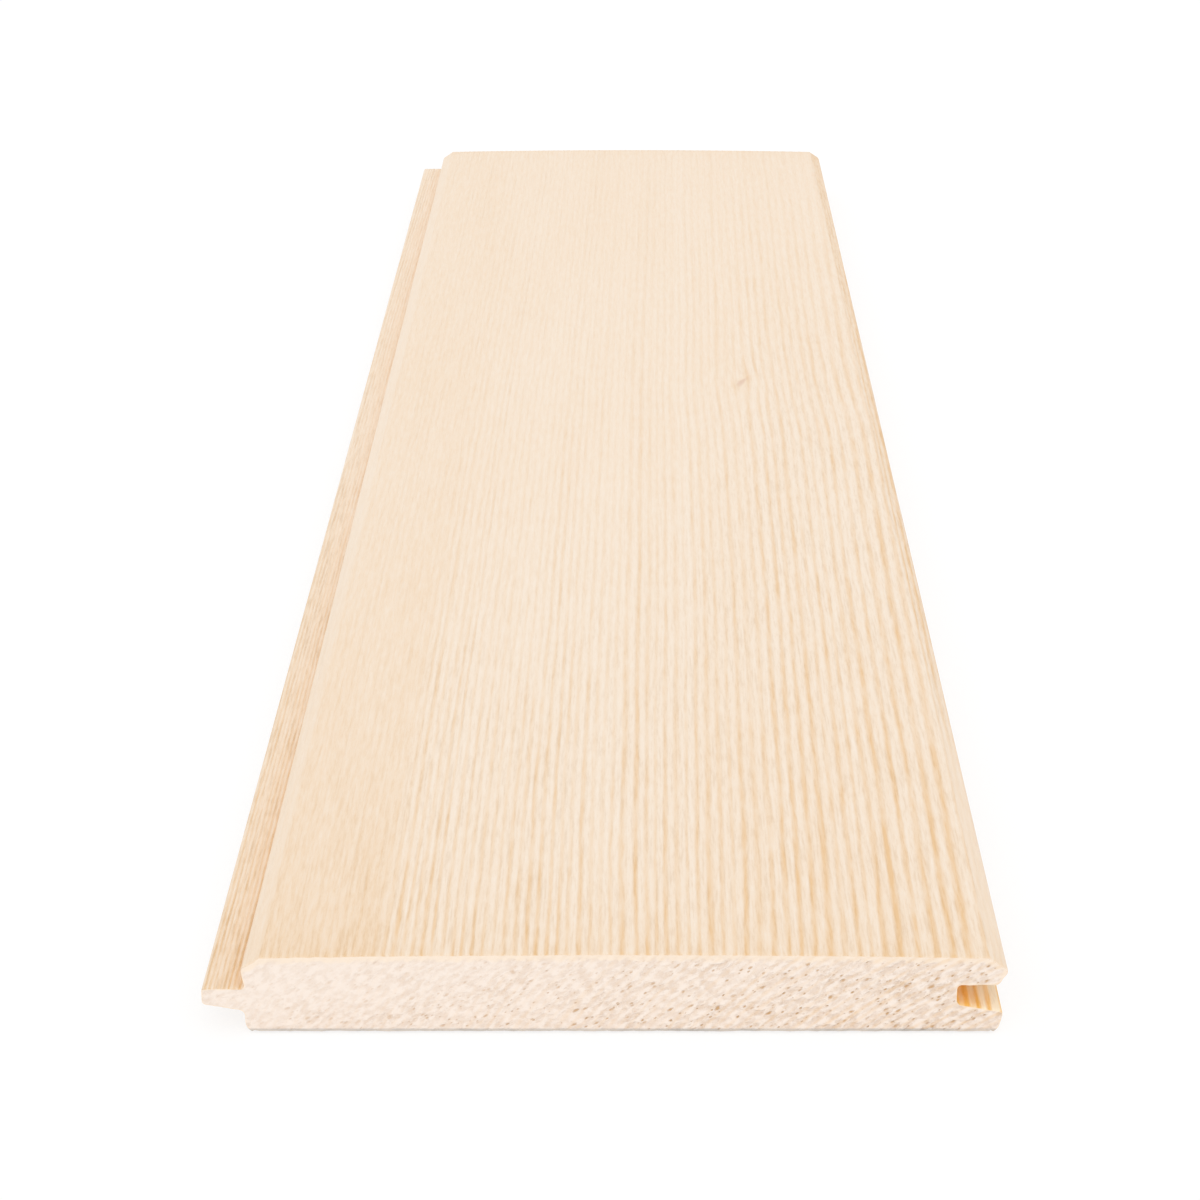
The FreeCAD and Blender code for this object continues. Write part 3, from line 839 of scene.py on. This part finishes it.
def sawn_material(colours, timber, rings):
    """End grain as the saw left it: torn strokes at the saw's slant, pits in the hard growth, and a smoother rim.

    The hollows between the strokes hold painted shade, and a painted contact shadow runs along the lower edge.
    """
    material, tree, shader = new_material("sawn_end")
    given = {"Years": trait(tree, "years"), "Figure": 1.0, "Tone": 0.0, "Boldness": trait(tree, "boldness")}
    line = use(tree, rings, given)["Line"]
    here = node(tree, "ShaderNodeTexCoord").outputs["Object"]
    turned = node(tree, "ShaderNodeVectorRotate", {"Vector": here, "Angle": timber.saw_slant}, rotation_type="Y_AXIS")

    def scaled(run, rise):
        """The place on the end, turned to the saw's slant, with this many cells to a mm along and across it."""
        scale = (run / MM, 20, rise / MM)
        return node(tree, "ShaderNodeMapping", {"Vector": turned.outputs[0], "Scale": scale}).outputs[0]

    def strokes(run, rise, spread):
        """Noise drawn out along the saw's strokes. The smaller its spread, the crisper its edges."""
        torn = noise(tree, scaled(run, rise), detail=2.0, distortion=0.25)
        return ramp(tree, torn, 0.5 - spread, 0.5 + spread, smooth=False)

    def pits(run, rise, rare):
        """Small torn hollows, longer along the strokes than across. They differ in size, and few cells have one."""
        torn = node(tree, "ShaderNodeTexVoronoi", {"Vector": scaled(run, rise), "Scale": 1.0})
        chance = node(tree, "ShaderNodeSeparateColor", {0: torn.outputs["Color"]}).outputs[0]
        size = calc(tree, "POWER", ramp(tree, chance, rare, 1.0, 0.5, 0.8, smooth=False), 2.0)
        ragged = calc(tree, "MULTIPLY_ADD", fine, 0.25, torn.outputs["Distance"])
        held = calc(tree, "MULTIPLY", calc(tree, "SUBTRACT", size, ragged), calc(tree, "GREATER_THAN", chance, rare))
        return ramp(tree, held, 0.0, 0.4)

    coarse, fine, patch = strokes(0.5, 0.98, 0.12), strokes(1.3, 2.2, 0.2), strokes(0.13, 0.2, 0.18)
    across, _, up = node(tree, "ShaderNodeSeparateXYZ", {0: here}).outputs
    ripe = calc(tree, "MULTIPLY_ADD", across, 6.5, calc(tree, "MULTIPLY_ADD", up, -26.0, 0.65), clamp=True)
    inner = ramp(tree, calc(tree, "MULTIPLY_ADD", coarse, 0.35, trait(tree, "rim")), 0.55, 1.2)
    pit = calc(tree, "MAXIMUM", pits(0.55, 1.3, 0.58), pits(0.95, 2.0, 0.66))
    pit = calc(tree, "MULTIPLY", calc(tree, "MULTIPLY", pit, inner), ramp(tree, ripe, 0.0, 0.7, 0.2, 1.0))
    # Painted shade in the hollows between the torn strokes: strongest to the right and low on the end, weaker at the
    # rim
    painted_shade_hollows = calc(tree, "MULTIPLY_ADD", coarse, 1.0, calc(tree, "MULTIPLY_ADD", fine, 0.45, -0.4))
    painted_shade_hollows = calc(tree, "MULTIPLY", painted_shade_hollows, calc(tree, "MULTIPLY_ADD", ripe, 0.5, 0.31))
    painted_shade_hollows = calc(tree, "MULTIPLY", painted_shade_hollows, calc(tree, "MULTIPLY_ADD", patch, 0.7, 0.6))
    painted_shade_hollows = calc(tree, "MULTIPLY", painted_shade_hollows, calc(tree, "MULTIPLY_ADD", inner, 0.7, 0.3), clamp=True)
    clean = blend(tree, inner, tuple(colours.arris), tuple(colours.sawn))
    colour = blend(tree, painted_shade_hollows, clean, tuple(colours.sawn_hollow_painted_shade))
    warm = calc(tree, "MULTIPLY", line, calc(tree, "MULTIPLY_ADD", ripe, 0.3, 0.03))
    colour = blend(tree, warm, colour, tuple(colours.hard_growth))
    colour = blend(tree, calc(tree, "MULTIPLY", pit, 0.9), colour, tuple(colours.pit))
    # Painted contact shadow: the lowest 1.2 mm of each end greys towards its lower edge, unevenly by patch
    contact_shadow_share = calc(tree, "MULTIPLY", ramp(tree, up, 1.2 * MM, 0.75 * MM), calc(tree, "MULTIPLY_ADD", patch, 0.5, 0.45))
    colour = blend(tree, contact_shadow_share, colour, tuple(colours.painted_contact_shadow))
    rough = calc(tree, "MULTIPLY_ADD", fine, 0.12, 0.78)
    height = calc(tree, "MULTIPLY_ADD", pit, -0.6, calc(tree, "MULTIPLY", painted_shade_hollows, -1.0))
    finish_wood(tree, shader, colour, rough, height, 0.00021)
    return material


def floor_material(studio):
    """A pale matt floor that the camera sees as near white, with the board's soft shadow on it."""
    material = bpy.data.materials.new("studio_floor")
    material.use_nodes = True
    tree = material.node_tree
    tree.nodes.clear()
    path = node(tree, "ShaderNodeLightPath").outputs
    seen = calc(tree, "MAXIMUM", path["Is Camera Ray"], calc(tree, "MAXIMUM", path["Is Glossy Ray"],
                                                             path["Is Transmission Ray"]))
    matt = node(tree, "ShaderNodeBsdfDiffuse", {"Color": (0.95, 0.95, 0.95, 1)}).outputs[0]
    glow = node(tree, "ShaderNodeEmission", {"Color": (1, 1, 1, 1), "Strength": 1.04}).outputs[0]
    share = calc(tree, "MULTIPLY", seen, studio.floor_glow)
    mixed = node(tree, "ShaderNodeMixShader", {0: share, 1: matt, 2: glow}).outputs[0]
    node(tree, "ShaderNodeOutputMaterial", {"Surface": mixed})
    return material


# Operators

class BOARD_OT_timber(bpy.types.Operator):
    """Carve the board with its growth rings and sawn ends, and show it in place of the plain solid."""

    bl_idname = "board.timber"
    bl_label = "Timber board"

    def execute(self, context):
        sizes, timber, colours = context.scene.board_sizes, context.scene.board_timber, context.scene.board_colours
        rings, fibres = growth_ring_group(), fibre_group()
        materials = (
            planed_material(colours, timber, rings, fibres),
            moulded_material(colours, rings, fibres),
            sawn_material(colours, timber, rings),
        )
        surface = board_surface(sizes, timber)
        spans, count = surface["spans"], len(surface["outline"])
        point = np.arange(count)
        moulded = (point >= spans["back_lip"][0]) & (point < spans["right_land"][0])
        moulded |= (point >= spans["left_land"][1]) & (point < spans["root_back"][1] + 4)
        sides = np.tile(moulded.astype(int), len(surface["rows"]) - 1)
        ends = len(surface["quads"]) + len(surface["triangles"]) - len(sides)
        board = new_mesh("timber_board", surface, materials, np.r_[sides, np.full(ends, 2)])
        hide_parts("board")
        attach(board, "root")
        return {"FINISHED"}


class BOARD_OT_studio(bpy.types.Operator):
    """Lay the floor, hang the soft lamp and place the camera."""

    bl_idname = "board.studio"
    bl_label = "Studio"

    def execute(self, context):
        studio = context.scene.board_studio
        reach = 6.0
        mesh = bpy.data.meshes.new("studio_floor")
        corners = [(-reach, -reach, 0), (reach, -reach, 0), (reach, reach, 0), (-reach, reach, 0)]
        mesh.from_pydata(corners, [], [(0, 1, 2, 3)])
        mesh.materials.append(floor_material(studio))
        floor = bpy.data.objects.new("studio_floor", mesh)
        context.scene.collection.objects.link(floor)

        world = bpy.data.worlds.new("studio_sky")
        world.use_nodes = True
        tree = world.node_tree
        tree.nodes.clear()
        path = node(tree, "ShaderNodeLightPath").outputs
        seen = calc(tree, "MAXIMUM", path["Is Camera Ray"], calc(tree, "MAXIMUM", path["Is Glossy Ray"],
                                                                 path["Is Transmission Ray"]))
        strength = ramp(tree, seen, 0, 1, studio.sky, 1.0, smooth=False)
        sky = node(tree, "ShaderNodeBackground", {"Color": (1, 1, 1, 1), "Strength": strength})
        node(tree, "ShaderNodeOutputWorld", {"Surface": sky.outputs[0]})
        context.scene.world = world

        lamp = bpy.data.lights.new("soft_key", "SUN")
        lamp.angle, lamp.energy = studio.key_softness, studio.key
        key = bpy.data.objects.new("soft_key", lamp)
        key.location = (-0.15, -1.3, 1.6)
        key.rotation_euler = (-key.location).to_track_quat("-Z", "Y").to_euler()
        context.scene.collection.objects.link(key)

        camera = bpy.data.objects.new("camera", bpy.data.cameras.new("camera"))
        camera.data.lens, camera.data.sensor_width = studio.lens, 36
        camera.data.shift_x = studio.camera_shift
        camera.location = studio.camera_place
        camera.rotation_euler = (np.pi / 2 - studio.camera_dip, 0, 0)
        context.scene.collection.objects.link(camera)
        context.scene.camera = camera
        context.scene.view_settings.view_transform = "Standard"
        return {"FINISHED"}


class BOARD_PT_panel(bpy.types.Panel):
    """Lists the board and its studio."""

    bl_idname = "BOARD_PT_panel"
    bl_label = "Tongue and groove board"
    bl_space_type = "VIEW_3D"
    bl_region_type = "UI"
    bl_category = "Board"

    def draw(self, context):
        for operator in OPERATORS:
            self.layout.operator(operator.bl_idname)
        for group in SETTINGS:
            settings = getattr(context.scene, group)
            box = self.layout.box()
            for name in settings.bl_rna.properties.keys():
                if name not in ("rna_type", "name"):
                    box.prop(settings, name)


SETTINGS = {
    "board_sizes": BoardSizes,
    "board_timber": TimberSizes,
    "board_colours": TimberColours,
    "board_studio": StudioSettings,
}
OPERATORS = (BOARD_OT_timber, BOARD_OT_studio)


def register():
    for cls in (*SETTINGS.values(), *OPERATORS, BOARD_PT_panel):
        bpy.utils.register_class(cls)
    for name, cls in SETTINGS.items():
        setattr(bpy.types.Scene, name, bpy.props.PointerProperty(type=cls))


def unregister():
    for name in SETTINGS:
        delattr(bpy.types.Scene, name)
    for cls in (BOARD_PT_panel, *OPERATORS, *SETTINGS.values()):
        bpy.utils.unregister_class(cls)


def main():
    register()
    bpy.ops.board.timber()
    bpy.ops.board.studio()


if __name__ == "__main__":
    main()
